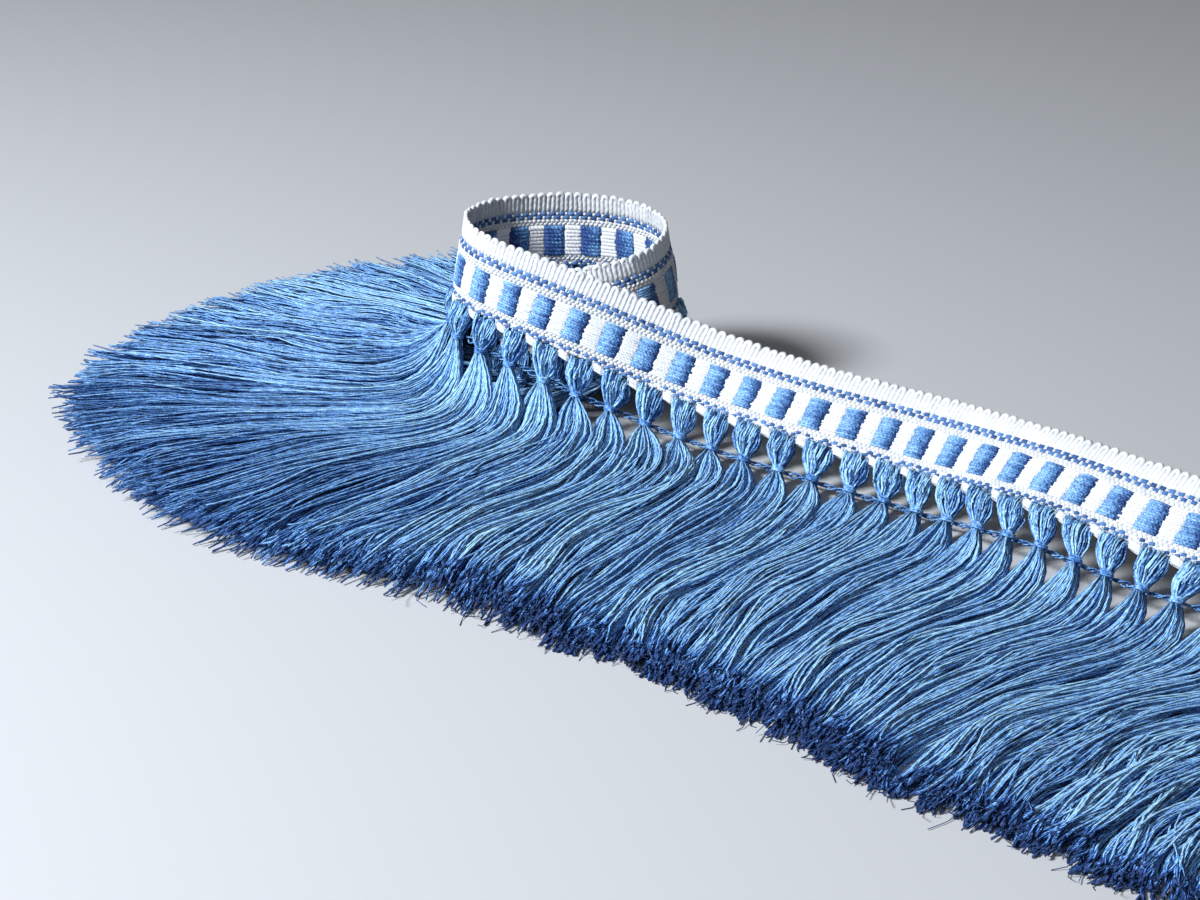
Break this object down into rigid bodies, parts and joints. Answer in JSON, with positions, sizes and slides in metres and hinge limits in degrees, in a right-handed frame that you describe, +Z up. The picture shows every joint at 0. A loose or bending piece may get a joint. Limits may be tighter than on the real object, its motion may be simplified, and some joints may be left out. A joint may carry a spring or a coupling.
{
  "type": "tassel fringe",
  "caption": "Woven braid trimming with picot edge and blue pattern, curled into a loop at one end, with long combed-out blue tassels lying on the surface.",
  "frame": {"origin": "centre of the bounding box's underside, on the surface that the fringe lies on", "axes": "+X to the right as seen in the picture, +Y away from the viewer, +Z up"},
  "size_m": [0.408, 0.4596, 0.0578],
  "materials": {
    "braid": "woven cotton, white with blue blocks",
    "tassel_yarn": "twisted cotton yarn, matt",
    "cord": "twisted cotton cord, matt"
  },
  "bodies": {
    "root": {"heading_tape": "braid", "tassel_01": "tassel_yarn", "tassel_02": "tassel_yarn", "tassel_03": "tassel_yarn", "tassel_04": "tassel_yarn", "tassel_05": "tassel_yarn", "tassel_06": "tassel_yarn", "tassel_07": "tassel_yarn", "tassel_08": "tassel_yarn", "tassel_09": "tassel_yarn", "tassel_10": "tassel_yarn", "tassel_11": "tassel_yarn", "tassel_12": "tassel_yarn", "tassel_13": "tassel_yarn", "tassel_14": "tassel_yarn", "tassel_15": "tassel_yarn", "tassel_16": "tassel_yarn", "tassel_17": "tassel_yarn", "tassel_18": "tassel_yarn", "tassel_19": "tassel_yarn", "tassel_20": "tassel_yarn", "tassel_21": "tassel_yarn", "tassel_22": "tassel_yarn", "tassel_23": "tassel_yarn", "tassel_24": "tassel_yarn", "tassel_25": "tassel_yarn", "tassel_26": "tassel_yarn", "tassel_27": "tassel_yarn", "tassel_28": "tassel_yarn", "tassel_29": "tassel_yarn", "tassel_30": "tassel_yarn", "tassel_31": "tassel_yarn", "tassel_32": "tassel_yarn", "tassel_33": "tassel_yarn", "tassel_34": "tassel_yarn", "tassel_35": "tassel_yarn", "tassel_36": "tassel_yarn", "tassel_37": "tassel_yarn", "tassel_38": "tassel_yarn", "tassel_39": "tassel_yarn", "tassel_40": "tassel_yarn", "tassel_41": "tassel_yarn", "tassel_42": "tassel_yarn", "tassel_43": "tassel_yarn", "tassel_44": "tassel_yarn", "tassel_45": "tassel_yarn", "tie_cord": "cord"}
  },
  "joints": []
}
